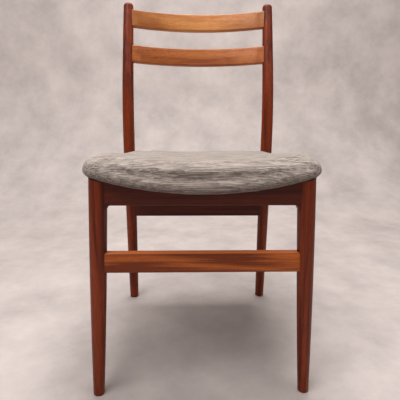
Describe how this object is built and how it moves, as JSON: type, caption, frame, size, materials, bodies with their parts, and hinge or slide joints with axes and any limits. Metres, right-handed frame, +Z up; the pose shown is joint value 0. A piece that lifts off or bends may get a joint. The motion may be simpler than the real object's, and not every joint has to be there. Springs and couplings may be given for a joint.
{
  "type": "dining chair",
  "caption": "Wooden dining chair with round turned legs, bent back posts, bowed horizontal back slats, flat stretchers and an upholstered dished seat.",
  "frame": {"origin": "on the floor, under the middle of the chair's box", "axes": "+Z up, the chair faces -Y, +X to its right as seen from in front"},
  "size_m": [0.425, 0.5054, 0.8199],
  "materials": {
    "dark_wood": "satin stained beech, dark brown",
    "slat_wood": "satin stained beech, lighter red-brown",
    "frame_wood": "plain beech, unstained",
    "dowel_wood": "plain beech, unstained",
    "plywood": "moulded plywood, unfinished",
    "foam": "open-cell seat foam",
    "seat_fabric": "woven slub upholstery fabric, grey-beige",
    "lining": "thin black lining cloth",
    "zinc_steel": "zinc-plated steel"
  },
  "bodies": {
    "root": {"front_leg_left": "dark_wood", "front_leg_right": "dark_wood", "back_post_left": "dark_wood", "back_post_right": "dark_wood", "front_seat_rail": "dark_wood", "rear_seat_rail": "dark_wood", "side_seat_rail_left": "dark_wood", "side_seat_rail_right": "dark_wood", "front_stretcher": "dark_wood", "rear_stretcher": "dark_wood", "upper_back_slat": "slat_wood", "lower_back_slat": "slat_wood", "corner_block_front_left": "frame_wood", "corner_block_front_right": "frame_wood", "corner_block_rear_left": "frame_wood", "corner_block_rear_right": "frame_wood", "front_rail_dowels": "dowel_wood", "rear_rail_dowels": "dowel_wood", "side_rail_front_dowels": "dowel_wood", "side_rail_rear_dowels": "dowel_wood", "front_stretcher_dowels": "dowel_wood", "rear_stretcher_dowels": "dowel_wood", "seat_board": "plywood", "seat_foam": "foam", "seat_cover": "seat_fabric", "seat_dust_cover": "lining", "corner_block_screws": "zinc_steel", "seat_bolts": "zinc_steel", "seat_bolt_washers": "zinc_steel", "seat_tee_nuts": "zinc_steel"}
  },
  "joints": []
}
